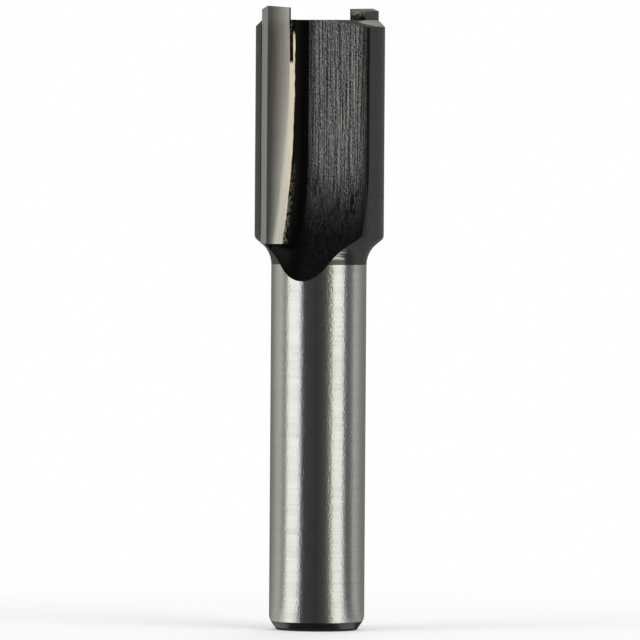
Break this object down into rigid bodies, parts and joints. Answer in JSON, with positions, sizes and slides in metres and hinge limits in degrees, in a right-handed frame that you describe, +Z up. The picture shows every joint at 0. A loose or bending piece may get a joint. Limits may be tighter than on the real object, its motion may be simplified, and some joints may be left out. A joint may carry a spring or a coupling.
{
  "type": "straight router bit",
  "caption": "Straight plunge router bit with a round shank, a coved neck, and milled flutes that each seat a brazed carbide tip along the cutting head.",
  "frame": {"origin": "centre of the flat end of the shank", "axes": "+Z up the tool's axis to the cutting end. The two cutting edges lie on the X axis, tip_a on the +X side. The tool cuts turning counter-clockwise seen from +Z, so tip_a's rake face looks to +Y."},
  "size_m": [0.012, 0.0108, 0.0522],
  "materials": {
    "tool_steel": "shank ground bright, head and flutes black lacquered",
    "carbide": "ground tungsten carbide",
    "braze": "silver braze, bright where ground"
  },
  "bodies": {
    "root": {"body": "tool_steel", "tip_a": "carbide", "tip_b": "carbide", "braze_a": "braze", "braze_b": "braze"}
  },
  "joints": []
}
